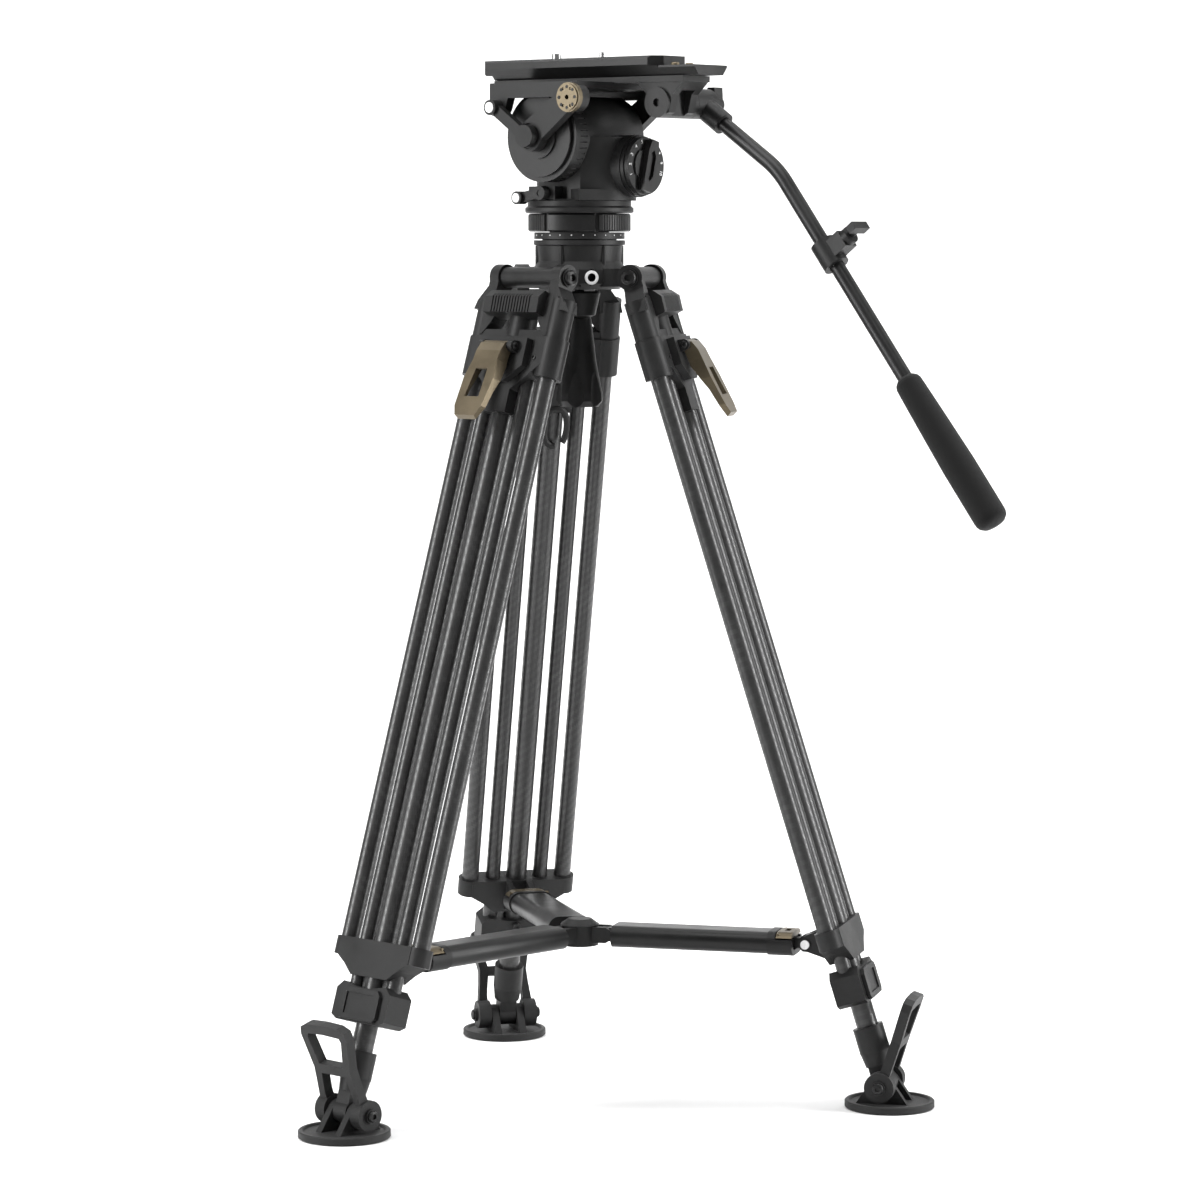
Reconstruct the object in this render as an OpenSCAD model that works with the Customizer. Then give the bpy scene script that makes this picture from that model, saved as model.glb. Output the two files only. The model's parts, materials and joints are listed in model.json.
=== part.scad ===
// Video tripod with a fluid head, a mid-level spreader and a pan bar.
// Units: millimetres. +Z is up, +Y is where the lens looks, +X is the operator's right.

/* [Stance] */
// Radius of the circle that the three leg hinges lie on
hinge_r = 64.6; // [62:0.2:68]
// Height of the leg hinges above the floor
hinge_z = 828.4; // [800:1:860]
// Angle of each leg from the vertical
leg_tilt = 17.4; // [16:0.1:19]
// Heading of the first leg, anticlockwise from +X
leg_heading = 55; // [50:1:60]
// Place of the pan axis, from the middle of the floor that the part covers
axis_x = 68; // [60:0.5:80]
// Place of the pan axis, from the middle of the floor that the part covers
axis_y = 89.5; // [80:0.5:100]

/* [Leg tubes] */
// Diameter of the two upper tubes of a leg
upper_d = 18; // [16:0.5:20]
// Diameter of the two middle tubes of a leg
middle_d = 15.5; // [14:0.5:17]
// Diameter of the single lower tube of a leg
lower_d = 22; // [20:0.5:24]
// Distance from the leg's middle to an upper tube
upper_t = 51; // [50:0.5:53]
// Distance from the leg's middle to a middle tube
middle_t = 26; // [25:0.5:28]

/* [Feet] */
// Diameter of the rubber foot pad
pad_d = 90; // [80:1:95]
// Thickness of the rubber foot pad
pad_h = 8; // [7:0.5:10]
// Height of the foot's pivot above the floor
foot_pivot_z = 24.5; // [24:0.5:27]

/* [Spreader] */
// Height of the spreader's arms above the floor
spreader_z = 163; // [160:1:166]
// Width of a spreader arm
arm_w = 46; // [40:1:48]
// Height of a spreader arm
arm_h = 22; // [20:1:24]

/* [Head] */
// Height of the bowl's rim, where the half ball is centred
bowl_z = 866; // [862:1:870]
// Diameter of the half ball
ball_d = 75; // [74:0.5:76]
// Height of the tilt axis
tilt_z = 968; // [964:1:972]
// Radius of the tilt drum
drum_r = 45; // [43:0.5:46]
// Width of the camera plate
plate_w = 54; // [50:1:58]
// Length of the camera plate
plate_l = 230; // [200:5:240]
// Height of the camera plate's top face
plate_top = 1046; // [1044:1:1050]

/* [Pan bar] */
// Diameter of the pan bar
bar_d = 15; // [14:0.5:16]
// Slope of the pan bar's first stretch below the horizontal
bar_slope_a = 34; // [30:1:38]
// Slope of the pan bar's second stretch below the horizontal
bar_slope_b = 52.4; // [48:0.2:56]
// Diameter of the foam grip
grip_d = 33; // [30:1:36]

/* [Hidden] */
$fn = 64;
LEGS = [1, 2, 3];

// Running clearance between parts that turn or slide, and the gap of parts that are fixed
run_gap = 0.06;
slide_gap = 0.3;
fixed_gap = 0.05;

// Leg stations, measured down the leg from its hinge
shoulder_end = 64;
housing_end = 104;
chin_end = 142;
bracket_top = 676;
bracket_end = 694;
collar_top = 719;
collar_end = 757;
fork_top = 783;
fork_seat = 803;
foot_s = (hinge_z - foot_pivot_z) / cos(leg_tilt);

// Hinge of a leg
boss_r = 13;
boss_in = 37;
barrel_r = 10.5;
hinge_pin_r = 5;

// Spreader lug on the leg's inner side, and the pin that the rod's eye goes over
lug_s = 686.7;
lug_n = -33.9;
lug_r = hinge_r + lug_s * sin(leg_tilt) + lug_n * cos(leg_tilt);
pin_r = 3.2;
eye_play = 2.6;
rod_w = 12;
hub_r = 19;
arm_end = 200;
latch_l = 26;

// Foot
pin_foot_r = 4;
loop_in = 18.5;
loop_out = 32;
loop_lean = 18;
pad_out = 5;

// Head
rosette_y = -118;
rosette_z = 1000;
bar_x = 46;
bar_bend = 118;
bend_r = 45;
bar_turn = bar_slope_b - bar_slope_a;
bend_cut = bend_r * tan(bar_turn / 2);
bend_lap = 3;
bar_end = 545;
grip_start = 372;
clamp_at = 222;
dial_x = 16;
dial_z = 939;
screw_r = [3.175, 4.76];
screw_up = 6;
arm_in = 66;
arm_out = 77;

module xcyl(r, x0, x1) translate([x0, 0, 0]) rotate([0, 90, 0]) cylinder(r = r, h = x1 - x0);
module ycyl(r, y0, y1) translate([0, y0, 0]) rotate([-90, 0, 0]) cylinder(r = r, h = y1 - y0);
// An outline drawn in Y and Z, from x0 to x1
module yz_plate(x0, x1) translate([x0, 0, 0]) rotate([90, 0, 90]) linear_extrude(x1 - x0) children();
// An outline drawn in X and Z, from y0 to y1
module xz_plate(y0, y1) translate([0, y1, 0]) rotate([90, 0, 0]) linear_extrude(y1 - y0) children();
module both_sides() { children(); mirror([0, 1, 0]) children(); }

module on_axis() translate([axis_x, axis_y, 0]) children();
function heading(i) = leg_heading + 120 * (i - 1);
module radial(i) on_axis() rotate([0, 0, heading(i)]) children();
// The leg's own frame: Z up the leg, X outwards from the tripod, Y across the leg
module on_leg(i) radial(i) translate([hinge_r, 0, hinge_z]) rotate([0, -leg_tilt, 0]) children();
module on_foot(i) on_leg(i) translate([0, 0, -foot_s]) rotate([0, leg_tilt, 0]) children();

// ---------------------------------------------------------------- crown

// Points of the bowl's sphere of radius r, from angle a0 below its rim up to a1
function ball_arc(r, a0, a1) = [
    for (k = [0:8]) let (a = a0 + (a1 - a0) * k / 8) [r * cos(a), bowl_z + r * sin(a)]
];

module crown_spoke() {
    // The arm that carries one leg's hinge barrel
    translate([hinge_r, 0, hinge_z]) ycyl(barrel_r, -boss_in + 0.5, boss_in - 0.5);
    translate([0, 0, hinge_z - 9]) linear_extrude(18)
        polygon([[30, -33], [44, -33], [hinge_r - 4, -30], [hinge_r - 4, 30], [44, 33], [30, 33]]);
    translate([hinge_r, 0, hinge_z]) ycyl(hinge_pin_r, -upper_t + 0.6, upper_t - 0.6);
    for (y = [-upper_t - 1, upper_t - 0.6])
        translate([hinge_r, 0, hinge_z]) ycyl(9, y, y + 1.6);
}

module crown() color("#1c1c1d") on_axis() difference() {
    union() {
        rotate_extrude() polygon(concat(
            [[24, hinge_z - 12], [40, hinge_z - 12], [47, hinge_z - 6], [47, hinge_z + 8],
             [42, hinge_z + 16], [43, bowl_z - 6], [46, bowl_z - 5], [46, bowl_z - 0.5], [38, bowl_z - 0.5]],
            ball_arc(ball_d / 2 + 0.2, -2, -50)
        ));
        for (i = LEGS) rotate([0, 0, heading(i)]) crown_spoke();
        for (k = [0:5]) rotate([0, 0, 15 + 60 * k]) translate([42, 0, hinge_z + 12])
            cylinder(r = 2.5, h = bowl_z - hinge_z - 18);
    }
    // Accessory socket between each two legs, with its locating holes
    for (i = LEGS) rotate([0, 0, heading(i) + 60]) {
        translate([36, 0, hinge_z]) rotate([0, 90, 0]) cylinder(r = 4, h = 20);
        for (z = [-7, 7]) translate([43, 0, hinge_z + z]) rotate([0, 90, 0]) cylinder(r = 1.6, h = 10);
    }
}

module half_ball() color("#232324") on_axis() rotate_extrude() polygon(concat(
    [[0, bowl_z - 58], [5, bowl_z - 58], [5, bowl_z - 34]],
    ball_arc(ball_d / 2, -65, -2),
    [[ball_d / 2, bowl_z + 0.6], [45.5, bowl_z + 0.6], [45.5, bowl_z + 7.4], [30, bowl_z + 7.4],
     [30, bowl_z + 28], [0, bowl_z + 28]]
));

module bowl_clamp_handle() color("#141415") on_axis() difference() {
    union() {
        translate([0, 0, hinge_z - 40]) rotate_extrude() polygon([
            [0, 26], [20, 26], [21, 24], [16, 2], [12, 0], [0, 0]
        ]);
        translate([0, 0, hinge_z - 130]) rotate_extrude() polygon([
            [0, 90.5], [11, 90.5], [12, 88], [17, 45], [23, 14], [23.5, 6], [19, 0], [0, 0]
        ]);
    }
    translate([0, 0, bowl_z - 60]) cylinder(r = 5 + fixed_gap, h = 40);
    for (k = [0:5]) rotate([0, 0, 30 + 60 * k]) translate([31, 0, hinge_z - 140])
        cylinder(r = 12, h = 90);
}

// ---------------------------------------------------------------- head

module drag_ring() color("#2a2a2b") on_axis() difference() {
    translate([0, 0, bowl_z + 8]) rotate_extrude() polygon([
        [31, 0], [50, 0], [51.5, 1.5], [51.5, 16.5], [50, 18], [31, 18]
    ]);
    for (k = [0:5]) rotate([0, 0, 60 * k]) translate([51.5, 0, bowl_z + 7]) cylinder(r = 2.4, h = 20);
    // Three of the six lobes are ribbed for the fingers
    for (k = [0:2]) for (g = [-6:6]) rotate([0, 0, 30 + 120 * k + 3.6 * g])
        translate([52, 0, bowl_z + 7]) cylinder(r = 1.1, h = 20);
}

module head_body() color("#222223") on_axis() difference() {
    union() {
        translate([0, 0, bowl_z + 26.5]) rotate_extrude() polygon([
            [0, 1.5], [31, 1.5], [31, 0], [53, 0], [54.5, 1.5], [54.5, 5], [52, 7], [52, 12], [50, 14], [0, 14]
        ]);
        // The upright housing of the pan cartridge
        intersection() {
            translate([4, -6, 905]) cylinder(r = 50, h = tilt_z - 905);
            translate([-38, -60, 900]) cube([91, 110, 80]);
        }
        // The barrel that the platform tilts on
        translate([0, 0, tilt_z]) xcyl(41, -38, 52);
        translate([0, 0, tilt_z]) xcyl(13, -arm_out + 2, 70);
        translate([0, 0, tilt_z]) xcyl(4, -arm_out - 4.5, 0);
        // Boss of the drag dial, on the back
        translate([dial_x, 0, dial_z]) ycyl(31, -64, -30);
        // Brake block with two lamps and a switch
        translate([-46, -38, 905]) rotate([0, 0, -25]) cube([32, 30, 11]);
        // Block that the pan lock turns on
        translate([-50, -10, 905]) cube([22, 34, 14]);
        translate([0, 2, 912]) xcyl(3, -59, -40);
    }
    translate([0, 0, bowl_z + 20]) cylinder(r = 30 + slide_gap, h = 8 + slide_gap);
}

module tilt_drum() color("#2b2b2c") on_axis() translate([0, 0, tilt_z]) difference() {
    union() {
        xcyl(drum_r, -58, -39);
        xcyl(drum_r - 5, -62, -57);
        xcyl(22, -64.5, -61);
    }
    xcyl(13 + fixed_gap, -70, -30);
    for (k = [0:47]) rotate([7.5 * k, 0, 0]) translate([0, drum_r, 0]) xcyl(0.8, -51, -41);
}

module drag_dial() color("#1d1d1e") on_axis() translate([dial_x, 0, dial_z]) difference() {
    union() {
        ycyl(30, -68, -64 - slide_gap);
        ycyl(28.5, -73, -67);
        ycyl(19, -75, -72);
        // The finger bar across the dial, with chamfered ends
        rotate([0, 14, 0]) xz_plate(-81, -72) polygon([
            [-5, -26], [5, -26], [8, -14], [8, 14], [5, 26], [-5, 26], [-8, 14], [-8, -14]
        ]);
    }
    // Finger hollows at the ends of the bar
    for (a = [14, 194]) rotate([0, a, 0]) for (x = [-15, 15]) translate([x, 0, 20]) ycyl(8, -90, -73.5);
    // Slot in the bar
    rotate([0, 14, 0]) xz_plate(-90, -78)
        polygon([[-4, -12], [0, -16], [4, -10], [4, 10], [0, 16], [-4, 12]]);
}

module side_arm() {
    // Outline of the platform's side arm in Y and Z, with the tilt axis at the origin
    difference() {
        union() {
            circle(r = 15);
            polygon([[-6, 14], [8, 13], [-38, 43], [-60, 48], [-64, 34], [-13, -5]]);
            polygon([[-62, 34], [-62, 52], [52, 52], [52, 22], [38, 18], [32, 26], [28, 38], [-30, 38]]);
            translate([-55, 37]) circle(r = 14);
        }
        circle(r = 13 + run_gap);
    }
}

module platform() color("#242425") on_axis() difference() {
    union() {
        translate([0, 0, tilt_z]) yz_plate(-arm_out, -arm_in) side_arm();
        translate([0, 0, tilt_z]) yz_plate(55, 66) side_arm();
        // Cross member above the drum, joined to both arms
        translate([-arm_out, -62, 1014.5]) cube([arm_out + 66, 114, 6.5]);
        // Deck that the camera plate slides on
        translate([-21, -150, 1020]) cube([42, 245, 6]);
        // Rear arm down to the two rosettes
        yz_plate(-20, 20) polygon([
            [-90, 1021], [-150, 1021], [-136, 1008], [-131, 990], [-118, 985], [-106, 990], [-104, 1008]
        ]);
        translate([0, rosette_y, rosette_z]) xcyl(15, -23, 26);
    }
    translate([0, 0, 1000]) translate([0, rosette_y, 0]) xcyl(4 + run_gap, -30, 40);
    // Pocket between the rosettes
    yz_plate(-10, 10) polygon([[-160, 1012], [-126, 1012], [-126, 980], [-160, 980]]);
}

module camera_plate() color("#2d2d2e") on_axis() difference() {
    union() {
        // Upper body, chamfered along its edges
        translate([0, -122, 0]) rotate([-90, 0, 0]) linear_extrude(plate_l) polygon([
            [-plate_w / 2 + 4, -1031], [-plate_w / 2 - 1, -1037], [-plate_w / 2 - 1, -plate_top + 2.5],
            [-plate_w / 2 + 1.5, -plate_top], [plate_w / 2 - 1.5, -plate_top],
            [plate_w / 2 + 1, -plate_top + 2.5], [plate_w / 2 + 1, -1037], [plate_w / 2 - 4, -1031]
        ]);
        // Dovetail rail under it, which runs out behind
        translate([0, -168, 0]) rotate([-90, 0, 0]) linear_extrude(264) polygon([
            [-19, -1026.3], [-25.5, -1034], [-25.5, -1036], [25.5, -1036], [25.5, -1034], [19, -1026.3]
        ]);
    }
    // Slot that the camera screws slide along
    translate([-5 - fixed_gap, -70, 1020]) cube([10 + 2 * fixed_gap, 130, 40]);
    // Bevelled corners, and a rising nose
    for (m = [0, 1]) mirror([m, 0, 0]) translate([plate_w / 2 + 1, -122, 1046]) rotate([0, 0, 45])
        cube([16, 16, 20], center = true);
    for (m = [0, 1]) mirror([m, 0, 0]) translate([plate_w / 2 + 1, plate_l - 122, 1036]) rotate([0, 0, 45])
        cube([10, 10, 60], center = true);
    translate([-40, plate_l - 122, 1036]) rotate([50, 0, 0]) translate([0, -30, -40]) cube([80, 60, 40]);
}

module camera_screws() color("#b9b9ba") on_axis()
    for (k = [0, 1]) translate([0, [-30, 30][k], 0]) {
        translate([-4.9, -9, 1030]) cube([9.8, 18, plate_top - 1030]);
        translate([0, 0, plate_top]) cylinder(r = screw_r[k], h = screw_up);
    }

module lever_arm(length, root_r, tip_r, thick) {
    // A flat lever along +Z with a round root and a round tip
    xcyl(root_r, 0, thick);
    translate([0, -tip_r * 0.75, 0]) cube([thick, tip_r * 1.5, length]);
    translate([0, 0, length]) xcyl(tip_r, -4, thick);
}

module tilt_lock_lever() color("#1a1a1b") on_axis() translate([-arm_out - 9, 0, tilt_z]) difference() {
    union() {
        rotate([-55, 0, 0]) lever_arm(50, 11, 7.5, 8);
        xcyl(11, 0, 8.7);
    }
    xcyl(4 + run_gap, 4, 20);
}

module pan_lock_lever() color("#1a1a1b") on_axis() translate([-60, 2, 912.3]) difference() {
    rotate([-100, 0, 0]) lever_arm(27, 7, 6.5, 8);
    translate([0, 0, -0.3]) xcyl(3 + run_gap, -1, 20);
}

module plate_lock_knob() color("#8a7a5c") on_axis() translate([-arm_out, -55, tilt_z + 37]) difference() {
    union() {
        xcyl(14.5, -6, -slide_gap);
        xcyl(13, -7.5, -5);
    }
    xcyl(2.4, -10, -3);
    for (k = [0:5]) rotate([60 * k, 0, 0]) translate([0, 9.5, 0]) xcyl(1.6, -10, -6.5);
}

// ---------------------------------------------------------------- pan bar

module at_rosette() on_axis() translate([bar_x, rosette_y, rosette_z]) children();
// The bar's own plane: X points backwards and Y up, from the rosette's axis
module in_bar_plane() at_rosette() rotate([90, 0, -90]) children();
// Z points down the bar's first stretch
module first_stretch() in_bar_plane() rotate([0, 0, -bar_slope_a]) rotate([0, 90, 0]) children();
// Z points down the bar's second stretch, from the corner where the two would meet
module second_stretch() in_bar_plane() rotate([0, 0, -bar_slope_a]) translate([bar_bend, 0, 0])
    rotate([0, 0, bar_slope_a - bar_slope_b]) rotate([0, 90, 0]) children();

module rosette_clamp() color("#2c2c2d") union() {
    at_rosette() difference() {
        xcyl(15, 26.3 - bar_x, 12);
        xcyl(4 + run_gap, -40, 30);
    }
    first_stretch() difference() {
        translate([0, 0, 10]) cylinder(r = 11.5, h = 26);
        translate([0, 0, 16]) cylinder(r = bar_d / 2 + fixed_gap, h = 40);
    }
}

module wing_knob() color("#1b1b1c") at_rosette() union() {
    xcyl(4, 1 - bar_x - 20, 14);
    xcyl(11, 12 + slide_gap, 18);
    xcyl(8, 17, 29);
    // The wing
    yz_plate(17, 30) polygon([[-4.5, -17], [4.5, -17], [5.5, 0], [4.5, 17], [-4.5, 17], [-5.5, 0]]);
}

module pan_bar() color("#262627") {
    first_stretch() translate([0, 0, 16 + fixed_gap])
        cylinder(d = bar_d, h = bar_bend - bend_cut + bend_lap - 16 - fixed_gap);
    in_bar_plane() rotate([0, 0, -bar_slope_a]) translate([bar_bend - bend_cut, -bend_r, 0])
        rotate([0, 0, 90 - bar_turn]) rotate_extrude(angle = bar_turn) translate([bend_r, 0])
            circle(d = bar_d + 0.4);
    second_stretch() translate([0, 0, bend_cut - bend_lap])
        cylinder(d = bar_d, h = bar_end - bar_bend - 20 - bend_cut + bend_lap);
}

module bar_grip() color("#0f0f10") second_stretch() difference() {
    translate([0, 0, grip_start - bar_bend]) rotate_extrude() polygon([
        [0, 0], [11, 0], [14, 5], [15.4, 20], [15.2, 60], [grip_d / 2, 120], [grip_d / 2, 168],
        [grip_d / 2 - 2, 172], [grip_d / 2 - 5, 174], [0, 174]
    ]);
    translate([0, 0, -20]) cylinder(r = bar_d / 2 + fixed_gap, h = bar_end - bar_bend);
}

module control_clamp() color("#202021") second_stretch() translate([0, 0, clamp_at - bar_bend]) difference() {
    union() {
        translate([0, 0, -14]) cylinder(r = 13, h = 28);
        translate([-9, 0, -9]) cube([18, 26, 18]);
        translate([0, 26, 0]) ycyl(9, -2, 6);
        translate([0, 32, 0]) ycyl(4, -2, 8);
        translate([-12, 38, -4]) cube([24, 9, 8]);
    }
    translate([0, 0, -40]) cylinder(r = bar_d / 2 + slide_gap, h = 80);
}

// ---------------------------------------------------------------- legs

module shoulder(i) color("#29292a") on_leg(i) difference() {
    union() {
        both_sides() {
            ycyl(boss_r, boss_in, upper_t - 1.4);
            // Neck from the boss to the sleeve
            yz_plate(-9, 11) polygon([
                [boss_in, 4], [upper_t - 1.4, 4], [upper_t - 1.4, -12], [61, -27], [63.5, -36], [40, -36],
                [boss_in, -14]
            ]);
            translate([0, upper_t, -shoulder_end]) cylinder(r = 12.5, h = 40);
            // Web from the sleeve in to the carrying grip
            yz_plate(-6, 12) polygon([[40, -22], [54, -22], [54, -62], [44, -62], [34, -50], [30, -42]]);
        }
        // Carrying grip
        translate([0, -38, 0]) rotate([-90, 0, 0]) linear_extrude(76)
            polygon([[2, 20], [16, 18], [23, 26], [22, 42], [4, 45]]);
        // Base that meets the clamp housing
        translate([-9, -upper_t, -shoulder_end]) cube([20, 2 * upper_t, 7]);
        translate([0, 0, -shoulder_end]) cylinder(r = 14, h = 22);
    }
    ycyl(hinge_pin_r + run_gap, -60, 60);
    translate([0, 0, -shoulder_end - 1]) cylinder(r = lower_d / 2 + slide_gap, h = 18);
    both_sides() translate([0, middle_t, -shoulder_end - 1]) cylinder(r = middle_d / 2 + slide_gap, h = 5);
    // Ribs of the carrying grip
    for (y = [-27:4:27]) translate([20, y, -42]) cube([8, 1.6, 20]);
}

module clamp_housing(i) color("#303031") on_leg(i) difference() {
    union() {
        both_sides() translate([0, upper_t, -housing_end])
            cylinder(r = 14, h = housing_end - shoulder_end - 0.2);
        yz_plate(-11, 14) polygon([
            [-upper_t, -shoulder_end - 0.2], [upper_t, -shoulder_end - 0.2], [upper_t, -92], [36, -104],
            [14, -120], [-14, -120], [-36, -104], [-upper_t, -92]
        ]);
        // Chin that guides the lower tube
        translate([-15, -16, -chin_end]) cube([29, 32, 30]);
        // Block that the lever turns on, and its pin
        yz_plate(10, 22) polygon([[-34, -68], [34, -68], [34, -96], [12, -112], [-12, -112], [-34, -96]]);
        both_sides() translate([24, 0, -78]) ycyl(6, 17 + slide_gap, 24);
        both_sides() translate([18, 17 + slide_gap, -84]) cube([6, 7 - slide_gap, 12]);
        translate([27, 0, -78]) ycyl(3, -24, 24);
        both_sides() translate([27, 0, -78]) ycyl(5.5, 17 + slide_gap, 24);
    }
    both_sides() {
        translate([0, upper_t, -housing_end - 1]) cylinder(r = upper_d / 2 + fixed_gap, h = 31);
        translate([0, middle_t, -150]) cylinder(r = middle_d / 2 + slide_gap, h = 100);
    }
    translate([0, 0, -150]) cylinder(r = lower_d / 2 + slide_gap, h = 100);
}

module lock_lever(i) color("#8a7a5c") on_leg(i) difference() {
    union() {
        translate([27, 0, -78]) ycyl(4.7, -17, 17);
        intersection() {
            // Side view of the lever
            xz_plate(-30, 30) polygon([
                [24, -81], [30, -75], [34, -77], [38, -86], [44, -120], [51, -156], [46, -159], [38, -128],
                [26, -100]
            ]);
            // Front view of the lever
            yz_plate(15, 60) polygon([
                [-17, -70], [17, -70], [17, -96], [21, -116], [19, -146], [12, -160], [-12, -160],
                [-19, -146], [-21, -116], [-17, -96]
            ]);
        }
    }
    // Hollow back and the window
    xz_plate(-14, 14) polygon([[18, -84], [30, -84], [40, -118], [46, -146], [36, -150], [18, -110]]);
    yz_plate(15, 70) polygon([[-8, -106], [8, -106], [10, -136], [-10, -136]]);
    translate([27, 0, -78]) ycyl(3 + run_gap, -30, 30);
}

module upper_tubes(i) color("#38383a") on_leg(i) both_sides() translate([0, upper_t, 0]) difference() {
    translate([0, 0, -bracket_end + 3]) cylinder(d = upper_d, h = bracket_end - 3 - 76);
    translate([0, 0, -bracket_end]) cylinder(d = upper_d - 3, h = bracket_end);
}

module bracket(i) color("#2a2a2b") on_leg(i) difference() {
    union() {
        both_sides() translate([0, upper_t, -bracket_end]) cylinder(r = 12.5, h = bracket_end - bracket_top);
        yz_plate(-13, 13) polygon([
            [-upper_t, -bracket_top], [upper_t, -bracket_top], [upper_t, -bracket_end], [38, -bracket_end - 8],
            [26, -712], [-26, -712], [-38, -bracket_end - 8], [-upper_t, -bracket_end]
        ]);
        // Lug with two cheeks for the spreader rod
        both_sides() xz_plate(8, 14) polygon([
            [-12, -676], [lug_n, -lug_s + 8], [lug_n - 6, -lug_s + 5], [lug_n - 8, -lug_s],
            [lug_n - 5, -lug_s - 6], [lug_n, -lug_s - 8], [-12, -710]
        ]);
        translate([lug_n, 0, -lug_s]) ycyl(pin_r, -15.5, 15.5);
        both_sides() translate([lug_n, 0, -lug_s]) ycyl(5.6, 14, 15.5);
    }
    both_sides() {
        translate([0, upper_t, -bracket_end + 3]) cylinder(r = upper_d / 2 + fixed_gap, h = 40);
        translate([0, middle_t, -730]) cylinder(r = middle_d / 2 + slide_gap, h = 80);
    }
    translate([0, 0, -730]) cylinder(r = lower_d / 2 + slide_gap, h = 80);
}

module middle_tubes(i) color("#38383a") on_leg(i) both_sides() translate([0, middle_t, -collar_end + 8])
    cylinder(d = middle_d, h = collar_end - 8 - 70);

module middle_collar(i) color("#303031") on_leg(i) difference() {
    union() {
        yz_plate(-15, 15) polygon([
            [-30, -collar_top], [-9, -collar_top - 4], [9, -collar_top - 4], [30, -collar_top], [38, -collar_top - 7],
            [38, -collar_end + 4], [30, -collar_end], [-30, -collar_end], [-38, -collar_end + 4], [-38, -collar_top - 7]
        ]);
        yz_plate(10, 19) polygon([
            [-24, -collar_top - 5], [24, -collar_top - 5], [28, -collar_top - 10], [28, -collar_end + 6],
            [24, -collar_end + 2], [-24, -collar_end + 2], [-28, -collar_end + 6], [-28, -collar_top - 10]
        ]);
        // Clamp screws on the inner side
        for (z = [-728, -748]) translate([-13, 0, z]) xcyl(3.5, -6, 0);
    }
    yz_plate(17.5, 25) polygon([[-18, -729], [18, -729], [18, -750], [-18, -750]]);
    both_sides() translate([0, middle_t, -collar_end + 8 - fixed_gap])
        cylinder(r = middle_d / 2 + fixed_gap, h = 60);
    translate([0, 0, -770]) cylinder(r = lower_d / 2 + slide_gap, h = 80);
}

module lower_tube(i) color("#38383a") on_leg(i) translate([0, 0, -fork_seat])
    cylinder(d = lower_d, h = fork_seat - 50);

module foot_fork(i) color("#303031") {
    on_leg(i) difference() {
        union() {
            translate([0, 0, -fork_top - 40]) rotate_extrude() polygon([
                [0, 0], [13.5, 0], [15, 12], [15.5, 14], [15.5, 40], [0, 40]
            ]);
            translate([-10, -9, -foot_s]) cube([20, 18, 30]);
            translate([0, 0, -foot_s]) ycyl(12, -9, 9);
            translate([0, 0, -foot_s]) ycyl(pin_foot_r, -34, 34);
            both_sides() translate([0, 0, -foot_s]) ycyl(7, loop_out + slide_gap, 35);
        }
        translate([0, 0, -fork_seat - fixed_gap]) cylinder(r = lower_d / 2 + fixed_gap, h = 40);
    }
}

module foot_pad(i) color("#161617") on_foot(i) difference() {
    union() {
        translate([pad_out, 0, -foot_pivot_z]) rotate_extrude() polygon([
            [0, 0], [pad_d / 2 - 1.5, 0], [pad_d / 2, 1.5], [pad_d / 2, pad_h - 1], [pad_d / 2 - 1, pad_h],
            [pad_d / 2 - 4, pad_h], [pad_d / 2 - 6, pad_h - 2], [0, pad_h - 2]
        ]);
        both_sides() {
            xz_plate(10, 17.5) polygon([[-26, -18.6], [26, -18.6], [9, 6], [-9, 6]]);
            ycyl(10.5, 10, 17.5);
        }
    }
    ycyl(pin_foot_r + run_gap, -40, 40);
    ycyl(12.8, -9.6, 9.6);
}

module foot_loop(i) color("#1a1a1b") on_foot(i) rotate([0, loop_lean, 0]) difference() {
    union() {
        both_sides() {
            ycyl(15, loop_in, loop_out);
            yz_plate(-4, 6) polygon([
                [loop_in, 0], [loop_out - 1, 0], [27, 34], [26, 48], [33, 82], [31, 90], [22, 94], [0, 95],
                [0, 85], [22, 84], [24, 80], [17, 52], [0, 52], [0, 42], [17, 42], [20, 20]
            ]);
        }
    }
    ycyl(pin_foot_r + run_gap, -40, 40);
}

// ---------------------------------------------------------------- spreader

module flat_oval(w, h) {
    square([w - h, h], center = true);
    for (s = [-1, 1]) translate([s * (w - h) / 2, 0]) circle(d = h);
}

// Along a spreader arm, Z points out from the hub and X lies across the arm
module on_arm(i) radial(i) translate([0, 0, spreader_z]) rotate([0, 90, 0]) rotate([0, 0, 90]) children();

module spreader_hub() color("#19191a") difference() {
    union() {
        on_axis() translate([0, 0, spreader_z - 12]) cylinder(r = hub_r, h = 22);
        on_axis() translate([0, 0, spreader_z + 9]) cylinder(r1 = 20, r2 = 12, h = 6);
        for (i = LEGS) {
            radial(i) translate([0, 0, spreader_z]) both_sides() xz_plate(5, 11)
                polygon([[0, -8], [30, -8], [36, -4], [36, 4], [30, 8], [0, 8]]);
        }
    }
}

module spreader_arms() color("#2a2a2b") for (i = LEGS) {
    on_arm(i) difference() {
        translate([0, 0, 38]) linear_extrude(arm_end - 38) flat_oval(arm_w, arm_h);
        translate([0, 0, 44]) linear_extrude(arm_end) flat_oval(arm_w - 5, arm_h - 5);
    }
    // Root block that pins the arm to the hub
    radial(i) translate([24, -4.8, spreader_z - 7]) cube([14, 9.6, 14]);
}

module latch_housings() color("#19191a") for (i = LEGS) on_arm(i) difference() {
    translate([0, 0, arm_end]) linear_extrude(latch_l) flat_oval(arm_w + 3, arm_h + 2);
    translate([0, 0, arm_end - 1]) linear_extrude(40) flat_oval(38 + 2 * slide_gap, 12 + 2 * slide_gap);
    translate([-40, 5, arm_end + 8]) cube([80, 20, 40]);
}

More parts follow.
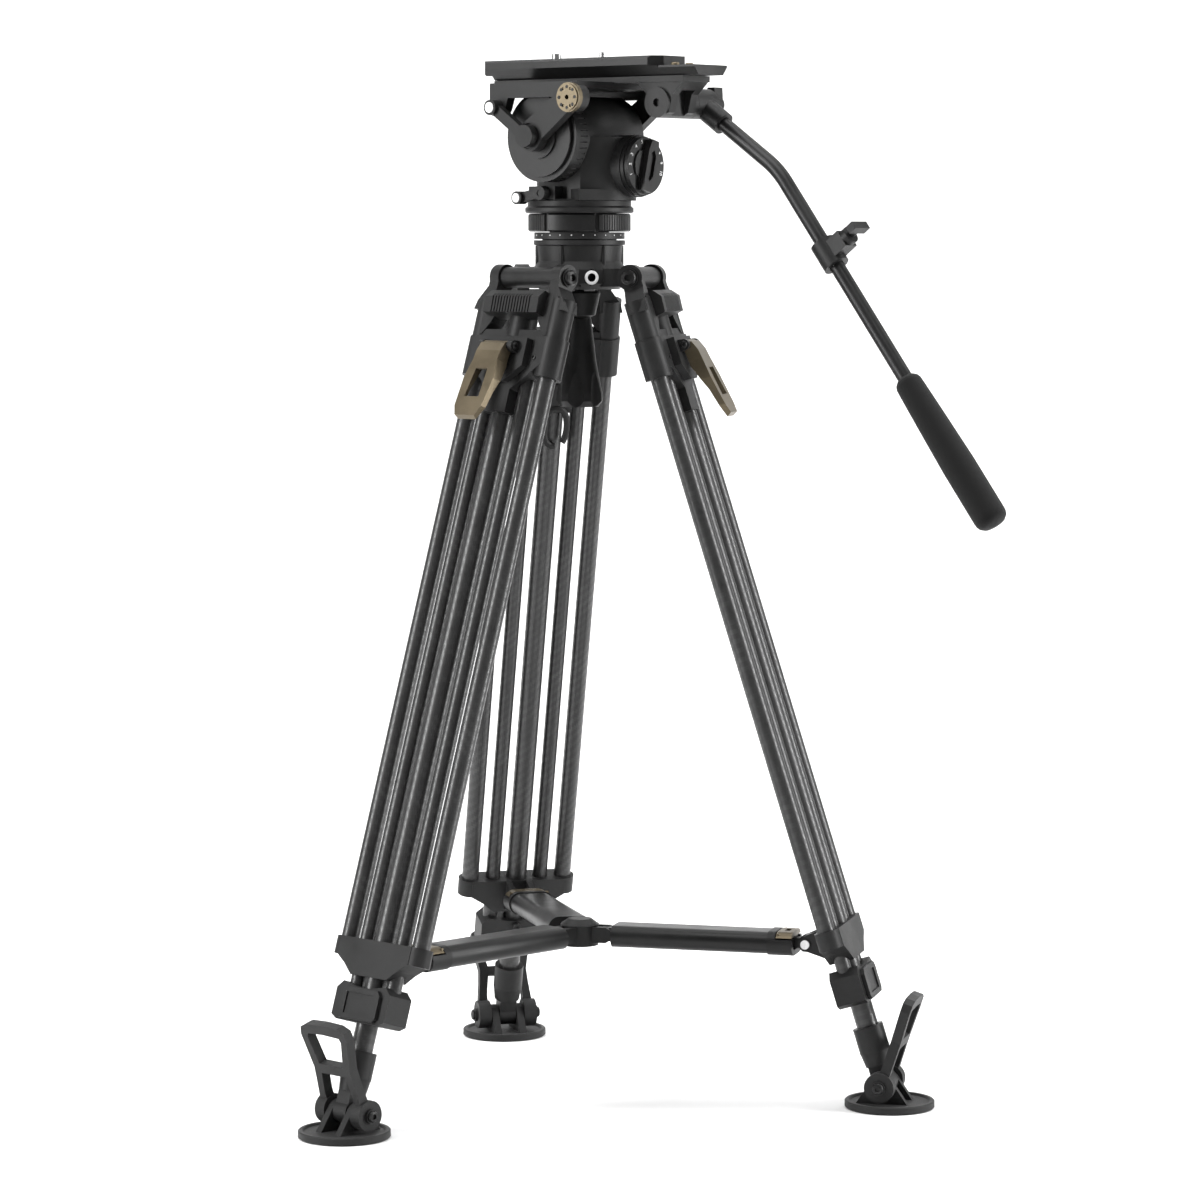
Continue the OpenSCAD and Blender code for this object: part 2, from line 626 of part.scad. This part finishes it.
module spreader_rod(i) color("#1f1f20") {
    on_arm(i) translate([0, 0, 60]) linear_extrude(lug_r - 60 - 14) flat_oval(38, 11);
    radial(i) difference() {
        union() {
            translate([0, 0, spreader_z]) translate([lug_r, 0, 0])
                ycyl(pin_r + eye_play + 3, -rod_w / 2, rod_w / 2);
            translate([lug_r - 16, -rod_w / 2, spreader_z - 5]) cube([12, rod_w, 10]);
        }
        translate([lug_r, 0, spreader_z]) ycyl(pin_r + eye_play, -10, 10);
    }
}

module spreader_latch(i) color("#8a7a5c") on_arm(i) {
    difference() {
        translate([0, 0, arm_end + 9.2]) linear_extrude(latch_l - 10) intersection() {
            flat_oval(arm_w + 3, arm_h + 2);
            translate([0, 13.6]) square([80, 14], center = true);
        }
        translate([-6, 5, arm_end + 15]) cube([12, 20, 5]);
    }
    // Pin that the latch turns on
    translate([0, 10, arm_end + 10.5]) xcyl(1.2, -21, 21);
}

crown();
half_ball();
bowl_clamp_handle();
drag_ring();
head_body();
tilt_drum();
drag_dial();
platform();
camera_plate();
camera_screws();
tilt_lock_lever();
pan_lock_lever();
plate_lock_knob();
rosette_clamp();
wing_knob();
pan_bar();
bar_grip();
control_clamp();
spreader_hub();
spreader_arms();
latch_housings();
for (i = LEGS) {
    spreader_rod(i);
    spreader_latch(i);
    shoulder(i);
    clamp_housing(i);
    lock_lever(i);
    upper_tubes(i);
    bracket(i);
    middle_tubes(i);
    middle_collar(i);
    lower_tube(i);
    foot_fork(i);
    foot_pad(i);
    foot_loop(i);
}
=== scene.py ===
# %% [markdown]
# # A video tripod with a fluid head
# The metal, plastic and carbon-fibre pieces come from the CAD model, which fixes every size and
# every joint. This lesson gives them their finishes, adds the small pieces that catch the eye,
# such as pin faces, bolts, dial marks and foam, and sets up the studio. The model is loaded
# first, because every place below is worked out from it.

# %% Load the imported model
import json
import math
import bmesh
import bpy
import numpy as np
from mathutils import Matrix, Vector


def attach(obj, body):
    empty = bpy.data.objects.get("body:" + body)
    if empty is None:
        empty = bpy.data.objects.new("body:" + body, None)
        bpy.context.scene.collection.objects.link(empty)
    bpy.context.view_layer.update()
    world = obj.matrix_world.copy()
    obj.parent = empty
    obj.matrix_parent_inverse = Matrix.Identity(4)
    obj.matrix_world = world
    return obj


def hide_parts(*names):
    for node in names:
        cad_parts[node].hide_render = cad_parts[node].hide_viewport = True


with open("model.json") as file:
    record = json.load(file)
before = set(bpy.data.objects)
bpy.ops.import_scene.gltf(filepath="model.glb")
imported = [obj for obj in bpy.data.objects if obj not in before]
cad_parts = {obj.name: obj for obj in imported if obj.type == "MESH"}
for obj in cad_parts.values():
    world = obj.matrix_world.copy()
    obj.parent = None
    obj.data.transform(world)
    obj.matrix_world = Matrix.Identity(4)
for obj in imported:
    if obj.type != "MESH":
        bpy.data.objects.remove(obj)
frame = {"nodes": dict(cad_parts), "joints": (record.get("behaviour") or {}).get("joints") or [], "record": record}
NODES = frame["nodes"]
RECORD = frame["record"]
JOINTS = {j["name"]: j for j in frame["joints"]}
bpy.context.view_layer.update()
MM = 0.001
LEGS = (1, 2, 3)

# %% [markdown]
# ## Places
# A tripod is easiest to think of round its pan axis, so a point is given as right, ahead and up
# from the foot of that axis. Each leg has a frame of its own, which starts at its hinge: one
# direction runs down the leg, one points away from the tripod and one lies across the leg.
# The joints in the record say where the axes are.

# %% Pan axis and leg frames
PAN = np.array(JOINTS["pan"]["pos_m"]) * (1, 1, 0)


def at(x, y, z):
    """A point x to the right of, y ahead of and z above the foot of the pan axis, in millimetres."""
    return PAN + np.array((x, y, z)) * MM


class LegFrame:
    """A leg's own directions: down the leg, out from the tripod and across the leg."""

    def __init__(self, i):
        self.hinge = np.array(JOINTS[f"leg_{i}_spread"]["pos_m"])
        self.down = np.array(JOINTS[f"leg_{i}_middle_slide"]["axis"])
        self.across = np.array(JOINTS[f"leg_{i}_pad_tilt"]["axis"])
        self.out = np.cross(self.down, self.across)
        self.heading = math.atan2(*(self.hinge - PAN)[[1, 0]])

    def at(self, s, n=0.0, t=0.0):
        """s down the leg, n outwards and t across it, in millimetres from the hinge."""
        return self.hinge + (s * self.down + n * self.out + t * self.across) * MM


LEG = {i: LegFrame(i) for i in LEGS}
HINGE_UP = 828.4
FOOT_PIVOT_UP = 24.5
LEG_LEAN = math.radians(17.4)
print("headings", [round(math.degrees(LEG[i].heading), 1) for i in LEGS])

# %% [markdown]
# ## Camera
# A long lens at the height of the bowl keeps the legs nearly parallel, as in a shop picture.
# The camera stands 4.3 m from the pan axis, behind and to the left of the head.

# %% Camera
CAM_FAR = 4.3
CAM_UP = 0.8621
CAM_SIDE = math.radians(-139.85)
LOOK_TURN = math.radians(39.875)
LOOK_DOWN = math.radians(4.776)
cam_data = bpy.data.cameras.new("camera")
cam_data.lens = 127.97
cam_data.sensor_width = 36
cam_data.clip_end = 60
camera = bpy.data.objects.new("camera", cam_data)
view_side = np.array((math.cos(CAM_SIDE), math.sin(CAM_SIDE), 0))
camera.location = PAN + CAM_FAR * view_side + (0, 0, CAM_UP)
camera.rotation_euler = (math.pi / 2 - LOOK_DOWN, 0, LOOK_TURN - math.pi / 2)
bpy.context.scene.collection.objects.link(camera)
bpy.context.scene.camera = camera
print("camera at", [round(v, 3) for v in camera.location])

# %% [markdown]
# ## Node groups
# Every black finish here differs from the next in its grain, its sheen and its wear. Each of
# those effects is one node group with named inputs, built once, and each material places it
# with its own values.

# %% Small helpers for node trees


def group(name, inputs, outputs):
    """A shader node group with named sockets. An input is (name, kind, default)."""
    tree = bpy.data.node_groups.new(name, "ShaderNodeTree")
    for label, kind, value in inputs:
        socket = tree.interface.new_socket(label, in_out="INPUT", socket_type="NodeSocket" + kind)
        socket.default_value = value
    for label, kind in outputs:
        tree.interface.new_socket(label, in_out="OUTPUT", socket_type="NodeSocket" + kind)
    enter = tree.nodes.new("NodeGroupInput")
    leave = tree.nodes.new("NodeGroupOutput")
    return tree, enter.outputs, leave.inputs


def put(tree, kind, settings=None, **links):
    """Adds a node. A link is named after its socket, with _ for a space, or i and the socket's number.
    Its value is another socket or a number."""
    node = tree.nodes.new("ShaderNode" + kind)
    for key, value in (settings or {}).items():
        setattr(node, key, value)
    for key, value in links.items():
        numbered = key[0] == "i" and key[1:].isdigit()
        socket = node.inputs[int(key[1:]) if numbered else key.replace("_", " ")]
        if isinstance(value, bpy.types.NodeSocket):
            tree.links.new(value, socket)
        else:
            socket.default_value = value
    return node


def maths(tree, operation, *values):
    """One Math node, whose inputs are sockets or numbers."""
    links = {f"i{k}": value for k, value in enumerate(values)}
    return put(tree, "Math", {"operation": operation}, **links).outputs[0]


def mix_colour(tree, share, a, b):
    """Colour a where share is 0 and b where it is 1."""
    return put(tree, "Mix", {"data_type": "RGBA"}, i0=share, i6=a, i7=b).outputs[2]


# %% [markdown]
# ### Cast grain
# A powder coat is a skin of fused grains: up close it has a fine orange-peel, and handling
# polishes it in soft patches. Two sizes of noise give that, the small one as height and the
# large one as a change of colour and sheen.

# %% Cast grain group
VECTOR = (0.0, 0.0, 0.0)
cast_grain, gi, go = group(
    "cast grain",
    [("Place", "Vector", VECTOR), ("Grain", "Float", 1600.0), ("Patch", "Float", 16.0),
     ("Dark", "Color", (0, 0, 0, 1)), ("Light", "Color", (1, 1, 1, 1)),
     ("Smooth", "Float", 0.4), ("Rough", "Float", 0.6)],
    [("Color", "Color"), ("Roughness", "Float"), ("Height", "Float")])
fine = put(cast_grain, "TexNoise", None, Vector=gi["Place"], Scale=gi["Grain"], Detail=3.0, Roughness=0.6)
patch = put(cast_grain, "TexNoise", None, Vector=gi["Place"], Scale=gi["Patch"], Detail=5.0, Roughness=0.62)
spread = put(cast_grain, "MapRange", None, Value=patch.outputs["Fac"], From_Min=0.36, From_Max=0.66)
soft_patch = maths(cast_grain, "MULTIPLY", spread.outputs[0], 0.6)
speck = maths(cast_grain, "MULTIPLY_ADD", fine.outputs["Fac"], 0.5, soft_patch)
cast_grain.links.new(mix_colour(cast_grain, speck, gi["Dark"], gi["Light"]), go["Color"])
rough = put(cast_grain, "MapRange", None, Value=speck, To_Min=gi["Smooth"], To_Max=gi["Rough"])
cast_grain.links.new(rough.outputs[0], go["Roughness"])
cast_grain.links.new(fine.outputs["Fac"], go["Height"])

# %% [markdown]
# ### Twill weave
# Carbon-fibre cloth is woven in a twill: each bundle passes over two and under two, and the
# next row starts one bundle later, so the eye sees fine diagonal ribs. Rounding the place down
# to whole bundles and taking the remainder of row plus column by four gives that pattern.

# %% Twill weave group
twill, gi, go = group(
    "twill weave",
    [("Place", "Vector", VECTOR), ("Bundles per metre", "Float", 420.0),
     ("Over", "Color", (1, 1, 1, 1)), ("Under", "Color", (0, 0, 0, 1))],
    [("Color", "Color"), ("Roughness", "Float"), ("Height", "Float")])
split = put(twill, "SeparateXYZ", None, Vector=gi["Place"])
rows = maths(twill, "FLOOR", maths(twill, "MULTIPLY", split.outputs[1], gi["Bundles per metre"]))
cols = maths(twill, "FLOOR", maths(twill, "MULTIPLY", split.outputs[2], gi["Bundles per metre"]))
quarter = maths(twill, "FLOORED_MODULO", maths(twill, "ADD", rows, cols), 4.0)
over = maths(twill, "LESS_THAN", quarter, 1.5)
streak = put(twill, "TexNoise", None, Vector=gi["Place"], Scale=38.0, Detail=6.0, Roughness=0.7)
worn = put(twill, "MapRange", None, Value=streak.outputs["Fac"], From_Min=0.35, From_Max=0.7)
share = maths(twill, "MULTIPLY", maths(twill, "MULTIPLY_ADD", over, 0.55, 0.2), worn.outputs[0])
twill.links.new(mix_colour(twill, share, gi["Under"], gi["Over"]), go["Color"])
twill.links.new(maths(twill, "MULTIPLY_ADD", over, -0.12, 0.46), go["Roughness"])
twill.links.new(over, go["Height"])

# %% [markdown]
# ## Materials
# Each slot of the record gets one material here. The number that is the same all over a
# surface, such as how shiny its clear coat is, sits on the shader itself.

# %% Materials
MATERIAL = {}


def finish_of(slot_name, tree_name, values, bump, **shader):
    """A material whose colour, sheen and bump come from one of the groups above."""
    material = bpy.data.materials.new(slot_name)
    material.use_nodes = True
    tree = material.node_tree
    bsdf = tree.nodes["Principled BSDF"]
    for key, value in shader.items():
        bsdf.inputs[key.replace("_", " ")].default_value = value
    place = put(tree, "TexCoord").outputs["Object"]
    if "turn" in values:
        turn = values.pop("turn")
        place = put(tree, "Mapping", {"vector_type": "POINT"}, Vector=place, Rotation=turn).outputs[0]
    made = put(tree, "Group", {"node_tree": bpy.data.node_groups[tree_name]}, Place=place)
    for key, value in values.items():
        made.inputs[key.replace("_", " ")].default_value = value
    tree.links.new(made.outputs["Color"], bsdf.inputs["Base Color"])
    tree.links.new(made.outputs["Roughness"], bsdf.inputs["Roughness"])
    lift = put(tree, "Bump", None, Height=made.outputs["Height"], Strength=bump[0], Distance=bump[1])
    tree.links.new(lift.outputs[0], bsdf.inputs["Normal"])
    MATERIAL[slot_name] = material
    return material


def grey(value):
    """A neutral colour."""
    return (value, value, value, 1)


finish_of("casting_black", "cast grain",
          dict(Dark=grey(0.005), Light=grey(0.016), Smooth=0.36, Rough=0.56),
          (0.25, 0.0003), Specular_IOR_Level=0.26)
finish_of("machined_black", "cast grain",
          dict(Grain=2600, Dark=grey(0.005), Light=grey(0.015), Smooth=0.28, Rough=0.46),
          (0.12, 0.0002), Metallic=0.25, Specular_IOR_Level=0.34)
finish_of("moulded_black", "cast grain",
          dict(Grain=2000, Dark=grey(0.004), Light=grey(0.012), Smooth=0.36, Rough=0.58),
          (0.3, 0.0003), Specular_IOR_Level=0.26)
finish_of("soft_rubber", "cast grain",
          dict(Grain=1300, Dark=grey(0.004), Light=grey(0.013), Smooth=0.48, Rough=0.72),
          (0.3, 0.0004), Specular_IOR_Level=0.3, Sheen_Weight=0.06)
finish_of("foam_grip", "cast grain",
          dict(Grain=1500, Patch=30, Dark=grey(0.003), Light=grey(0.009), Smooth=0.8, Rough=0.98),
          (0.9, 0.0008), Specular_IOR_Level=0.2, Sheen_Weight=0.08)
finish_of("bronze_metal", "cast grain",
          dict(Grain=2200, Dark=(0.085, 0.068, 0.042, 1), Light=(0.16, 0.13, 0.085, 1),
               Smooth=0.32, Rough=0.52),
          (0.15, 0.0002), Metallic=0.75)
finish_of("steel_bright", "cast grain",
          dict(Grain=3000, Dark=grey(0.5), Light=grey(0.7), Smooth=0.2, Rough=0.35),
          (0.1, 0.0001), Metallic=1.0)
finish_of("white_mark", "cast grain",
          dict(Dark=grey(0.72), Light=grey(0.85), Smooth=0.4, Rough=0.55), (0.05, 0.0001))
for i in LEGS:
    lean = math.acos(-LEG[i].down[2])
    upright = Matrix.Rotation(lean, 3, "Y") @ Matrix.Rotation(-LEG[i].heading, 3, "Z")
    finish_of(f"carbon_tube_{i}", "twill weave",
              dict(turn=upright.to_euler(), Over=grey(0.040), Under=grey(0.010)),
              (0.1, 0.0002), Coat_Weight=0.25, Coat_Roughness=0.25)
slot_of = {s["node"]: s["material_slot"] for s in RECORD["subparts"]}
for name, node in NODES.items():
    slot = slot_of[name]
    node.data.materials.clear()
    node.data.materials.append(MATERIAL[slot if slot in MATERIAL else f"{slot}_{name[4]}"])
print(len(MATERIAL), "materials on", len(NODES), "CAD nodes")

# %% [markdown]
# ## Ways to make a piece
# Small hardware is nearly always turned on a lathe or bent from a bar, so two helpers make
# nearly everything here: a profile spun round an axis, and a circle carried along a path.
# Each works out all its points at once.

# %% Surfaces from formulas


def basis(axis):
    """Two directions square to axis, and axis itself, each of length one."""
    w = np.array(axis, float) / np.linalg.norm(axis)
    u = np.cross(w, (0, 0, 1) if abs(w[2]) < 0.9 else (0, 1, 0))
    u /= np.linalg.norm(u)
    return u, np.cross(w, u), w


def make_piece(name, points, faces, body, slot, material=None, smooth=35):
    """Puts points and faces into a mesh, closes its seams and poles, and rides it on a body."""
    mesh = bpy.data.meshes.new(name)
    mesh.from_pydata(np.asarray(points).reshape(-1, 3).tolist(), [], faces)
    tidy = bmesh.new()
    tidy.from_mesh(mesh)
    bmesh.ops.remove_doubles(tidy, verts=tidy.verts, dist=2e-6)
    bmesh.ops.dissolve_degenerate(tidy, edges=tidy.edges, dist=1e-7)
    bmesh.ops.recalc_face_normals(tidy, faces=tidy.faces)
    tidy.to_mesh(mesh)
    tidy.free()
    piece = bpy.data.objects.new(name, mesh)
    bpy.context.scene.collection.objects.link(piece)
    mesh.materials.append(MATERIAL[material or slot])
    mesh.shade_smooth()
    mesh.set_sharp_from_angle(angle=math.radians(smooth))
    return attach(piece, body)


def grid_faces(rows, columns):
    """Quads over a grid whose columns close on themselves."""
    row, col = np.mgrid[0:rows - 1, 0:columns]
    here = row * columns + col
    beside = row * columns + (col + 1) % columns
    return np.stack([here, beside, beside + columns, here + columns], -1).reshape(-1, 4).tolist()


def turned(name, profile, foot, axis, body, slot, sides=48, **more):
    """A lathe: each (radius, height) of the profile, in millimetres, goes round the axis."""
    u, v, w = basis(axis)
    profile = np.array(profile, float) * MM
    angle = np.linspace(0, 2 * np.pi, sides, endpoint=False)
    radius = profile[:, :1] * np.ones(sides)
    ring = radius[..., None] * (np.cos(angle)[:, None] * u + np.sin(angle)[:, None] * v)
    points = foot + ring + profile[:, 1][:, None, None] * w
    return make_piece(name, points, grid_faces(len(profile), sides), body, slot, **more)


def swept(name, path, size, body, slot, sides=16, squash=1.0):
    """A bar: a circle of radius size, in millimetres, is carried along the path, square to its
    direction. Squash flattens the circle towards the plane of the path."""
    path = np.asarray(path, float)
    ahead = np.roll(path, -1, 0) - np.roll(path, 1, 0)
    ahead[0], ahead[-1] = path[1] - path[0], path[-1] - path[-2]
    ahead /= np.linalg.norm(ahead, axis=1, keepdims=True)
    flat = np.linalg.svd(path - path.mean(0))[2][2]
    beside = np.cross(ahead, flat)
    angle = np.linspace(0, 2 * np.pi, sides, endpoint=False)[None, :, None]
    ring = path[:, None] + size * MM * (np.cos(angle) * beside[:, None] + squash * np.sin(angle) * flat)
    start, end = (np.repeat(point[:, None], sides, 1) for point in (path[:1], path[-1:]))
    ring = np.concatenate([start, ring, end])
    return make_piece(name, ring, grid_faces(len(ring), sides), body, slot)


# %% [markdown]
# ## Bolts and pin faces
# Black button-head screws hold the castings, and the recess in each head is what shows. The
# lever tips and the spreader pins end in plain white faces. A screw head is a turned cap whose
# recess is real, so that it casts its own small shadow.

# %% Screws, sockets and bright faces


def button_head(name, spot, axis, r, body):
    """A domed screw head of radius r whose middle sinks into a round recess."""
    dome = [(0, 0.1), (r, 0.1), (r, 0.3 * r), (0.86 * r, 0.48 * r), (0.52 * r, 0.55 * r)]
    socket = [(0.46 * r, 0.5 * r), (0.44 * r, 0.16 * r), (0, 0.14 * r)]
    turned(name, dome + socket, spot, axis, body, "machined_black", sides=36)


def bright_face(name, spot, axis, r, body):
    """A bright turned disc with a raised rim and a fine dimple in the middle."""
    profile = [(0, 0.05), (r, 0.05), (r, 0.9), (0.9 * r, 1.1), (0.82 * r, 0.9), (0.14 * r, 0.9), (0, 0.4)]
    turned(name, profile, spot, axis, body, "steel_bright", material="white_mark", sides=36)


RIGHT = np.array((1.0, 0, 0))
FOOT_DOWN = (HINGE_UP - FOOT_PIVOT_UP) / math.cos(LEG_LEAN)
lip = [(4.2, 0), (7.0, 0), (7.0, 1.2), (6.4, 1.6), (4.8, 1.6), (4.2, 1.0), (4.2, 0)]
for i in LEGS:
    leg = LEG[i]
    for end, way in (("a", 1), ("b", -1)):
        side = way * leg.across
        button_head(f"hinge_bolt_{i}_{end}", leg.at(0, 0, way * 52), side, 7.5, "crown")
        bright_face(f"rod_pin_{i}_{end}", leg.at(686.7, -33.9, way * 15.5), side, 4.6, f"leg_{i}")
        button_head(f"foot_bolt_{i}_{end}", leg.at(FOOT_DOWN, 0, way * 35), side, 5.6, f"leg_{i}_lower")
        button_head(f"lever_pin_{i}_{end}", leg.at(78, 27, way * 24), side, 3.6, f"leg_{i}")
    for s in (728, 748):
        button_head(f"collar_screw_{i}_{s}", leg.at(s, -19, 0), -leg.out, 4.2, f"leg_{i}_middle")
    for t in (-30, 30):
        button_head(f"housing_screw_{i}_{t + 30}", leg.at(86, 14, 1.35 * t), leg.out, 2.6, f"leg_{i}")
    port = leg.heading + math.pi / 3
    out = np.array((math.cos(port), math.sin(port), 0))
    turned(f"port_lip_{i}", lip, at(0, 0, HINGE_UP) + out * 46.6 * MM, out, "crown", "steel_bright",
           material="white_mark")
bright_face("tilt_lock_face", at(-90, 40.96, 996.7), -RIGHT, 5.2, "tilt_lock")
bright_face("pan_lock_face", at(-64, 28.6, 907.6), -RIGHT, 4.6, "pan_lock")

# %% [markdown]
# ## Dial figures and scale marks
# The rear dial carries plain figures for its steps, and the half ball's flange under the head
# has a scale of small dots. Each mark is a thin raised chip of white on the piece that carries
# it, so it moves with that piece.

# %% Marks
DIAL = at(16, -73, 939)
for k in range(10):
    turn = math.radians(200 - 24 * k)
    spot = DIAL + 24.4 * MM * np.array((math.cos(turn), 0, math.sin(turn)))
    text = bpy.data.curves.new(f"dial_figure_{k}", "FONT")
    text.body = str(k + 1)
    text.size = 5.2 * MM
    text.extrude = 0.15 * MM
    text.align_x = "CENTER"
    text.align_y = "CENTER"
    text.resolution_u = 3
    maker = bpy.data.objects.new("figure maker", text)
    bpy.context.scene.collection.objects.link(maker)
    bpy.context.view_layer.update()
    drawn = maker.evaluated_get(bpy.context.evaluated_depsgraph_get())
    shape = bpy.data.meshes.new_from_object(drawn)
    bpy.data.objects.remove(maker)
    stand = Matrix.Translation(spot) @ Matrix.Rotation(math.pi / 2, 4, "X")
    shape.transform(stand @ Matrix.Rotation(turn - math.pi / 2, 4, "Z"))
    figure = bpy.data.objects.new(f"dial_figure_{k}", shape)
    bpy.context.scene.collection.objects.link(figure)
    shape.materials.clear()
    shape.materials.append(MATERIAL["white_mark"])
    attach(figure, "counterbalance")
BOWL_RIM_UP = 866
SCALE_UP = BOWL_RIM_UP + 4.5
SCALE_R = 45.45
for k in range(24):
    a = math.radians(15 * k)
    out = np.array((math.cos(a), math.sin(a), 0))
    turned(f"scale_dot_{k}", [(0, 0), (0.6, 0), (0.6, 0.2), (0, 0.25)],
           at(0, 0, SCALE_UP) + out * SCALE_R * MM, out, "crown", "machined_black",
           material="white_mark", sides=10)

# %% [markdown]
# ## Foam grip
# The grip is a closed-cell foam sleeve. It swells towards the end where the hand holds it and
# closes in a soft dome, so its profile is one smooth curve: a straight cone whose two ends are
# rounded off by quarter ellipses.

# %% Grip
def back_and_down(degrees):
    """The direction that points backwards and this far below the level."""
    return np.array((0, -math.cos(math.radians(degrees)), -math.sin(math.radians(degrees))))


first_down, bar_down = back_and_down(34), back_and_down(52.4)
TO_CORNER = 118
bar_corner = at(46, -118, 1000) + TO_CORNER * MM * first_down
grip_low, grip_high = 254.0, 427.5
along = np.linspace(0, 1, 60)
height = grip_low + along * (grip_high - grip_low)
radius = 13.0 + 3.4 * np.clip(along / 0.6, 0, 1) ** 0.8
radius *= np.sqrt(1 - np.clip(1 - along / 0.04, 0, 1) ** 2 * 0.5)
radius *= np.sqrt(np.clip(1 - np.clip((along - 0.93) / 0.07, 0, 1) ** 2.6, 0.0, 1))
profile = [(7.6, grip_low)] + list(zip(radius, height)) + [(0, grip_high)]
grip = turned("foam_sleeve", profile, bar_corner, bar_down, "bar", "foam_grip", sides=72, smooth=60)
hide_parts("bar_grip")

# %% [markdown]
# ## Bent bar
# The bar is one tube with a single bend, so it is swept along a path of two straights joined by
# an arc. The CAD model makes the bend as a short sleeve; a continuous sweep gives the true line.

# %% Bar
first, corner, last = bar_corner - 86 * MM * first_down, bar_corner, bar_corner + 400 * MM * bar_down
share = np.linspace(0, 1, 24)[:, None]
bend_a, bend_b = corner - 16 * MM * first_down, corner + 16 * MM * bar_down
bend = (1 - share) ** 2 * bend_a + 2 * share * (1 - share) * corner + share ** 2 * bend_b
bar = swept("bent_bar", np.concatenate([[first], bend, [last]]), 7.5, "bar", "machined_black", sides=40)
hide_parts("pan_bar")

# %% [markdown]
# ## Small fittings on the head
# The brass pin at the back of the sliding plate stops it from coming off, and the disc of the
# plate lock has a ring of dark dimples. The carrying hook is a flat-sided loop, whose top
# sinks into the back of the front leg's clamp housing.

# %% Fittings
pin_profile = [(0, 0), (4.2, 0), (4.2, 2.2), (3.4, 3.2), (0, 3.4)]
for name, x in (("safety_pin", -12), ("end_stop", 10)):
    turned(name, pin_profile, at(x, -133, 1035.9), (0, 0, 1), "sliding_plate", "bronze_metal", sides=32)
for k in range(8):
    a = math.radians(45 * k)
    spot = at(-84.5, -55 + 10.2 * math.cos(a), 1005 + 10.2 * math.sin(a))
    turned(f"lock_dimple_{k}", [(0, 0), (1.7, 0), (1.5, 0.35), (0, 0.3)], spot, -RIGHT, "plate_lock",
           "bronze_metal", material="casting_black", sides=16)
turn = np.linspace(-0.5 * np.pi, 1.3 * np.pi, 60)[:, None]
bend = np.sign(np.cos(turn)) * np.abs(np.cos(turn)) ** 0.7
hang = LEG[1].at(158, -15.2, 0)
loop = hang + MM * (12 * bend * LEG[1].across + 20 * np.sin(turn) * -LEG[1].down)
swept("carrying_hook", loop[::-1], 3.4, "leg_1", "moulded_black", squash=0.8)

# %% [markdown]
# ## Studio
# A pale sheet of paper lies under the tripod and curves up behind it, so that there is no
# horizon. Black things are lit by what they reflect: a strip on each side draws a line of light
# down every tube, a broad light above gives the tops a sheen, and the room itself stays dim.

# %% Paper sweep
WHITE = 0.93
SWEEP = 3.0
across_room = np.array([-9.0, 9.0])
turn = np.linspace(0, math.pi / 2, 24)
near_run = np.concatenate([[6.0], -2.6 - SWEEP * np.sin(turn), [-2.6 - SWEEP]])
rise = np.concatenate([[0.0], SWEEP - SWEEP * np.cos(turn), [9.0]])
view_right = np.array((-view_side[1], view_side[0], 0))
sheet = PAN + near_run[:, None, None] * view_side + across_room[None, :, None] * view_right
sheet = sheet + rise[:, None, None] * np.array((0, 0, 1.0))
paper_mesh = bpy.data.meshes.new("paper_sweep")
rows = len(near_run)
strips = [(2 * k, 2 * k + 2, 2 * k + 3, 2 * k + 1) for k in range(rows - 1)]
paper_mesh.from_pydata(sheet.reshape(-1, 3).tolist(), [], strips)
paper_mesh.shade_smooth()
paper_sweep = bpy.data.objects.new("paper_sweep", paper_mesh)
bpy.context.scene.collection.objects.link(paper_sweep)
paper = bpy.data.materials.new("paper")
paper.use_nodes = True
bsdf = paper.node_tree.nodes["Principled BSDF"]
bsdf.inputs["Base Color"].default_value = (WHITE, WHITE, WHITE, 1)
bsdf.inputs["Roughness"].default_value = 0.95
bsdf.inputs["Specular IOR Level"].default_value = 0.1
paper_mesh.materials.append(paper)


# %% Lights
def soft_light(name, place, aim, size, power):
    """A rectangular area light at place, facing aim, in metres and watts."""
    data = bpy.data.lights.new(name, "AREA")
    data.shape = "RECTANGLE"
    data.size, data.size_y = size
    data.energy = power
    lamp = bpy.data.objects.new(name, data)
    lamp.location = place
    lamp.rotation_euler = (Vector(place) - Vector(aim)).to_track_quat("Z", "Y").to_euler()
    bpy.context.scene.collection.objects.link(lamp)


MIDDLE = (PAN[0], PAN[1], 0.6)


def around(right, near, up):
    """A place so far right of, nearer than and above the tripod's foot, as the camera sees it."""
    return tuple(PAN + right * view_right + near * view_side + np.array((0, 0, up)))


soft_light("overhead", around(-0.3, 0.8, 3.6), MIDDLE, (2.4, 2.4), 85)
soft_light("left strip", around(-2.3, 0.9, 1.4), MIDDLE, (0.6, 2.6), 74)
soft_light("right strip", around(2.4, 0.4, 1.3), MIDDLE, (0.6, 2.6), 80)
soft_light("paper light", around(0.0, -1.2, 3.4), around(0, -4.5, 0.8), (5.0, 1.5), 230)
world = bpy.data.worlds.new("studio")
world.use_nodes = True
room = world.node_tree.nodes["Background"]
room.inputs["Color"].default_value = (1, 1, 1, 1)
room.inputs["Strength"].default_value = 0.24
bpy.context.scene.world = world
bpy.context.scene.view_settings.view_transform = "Standard"
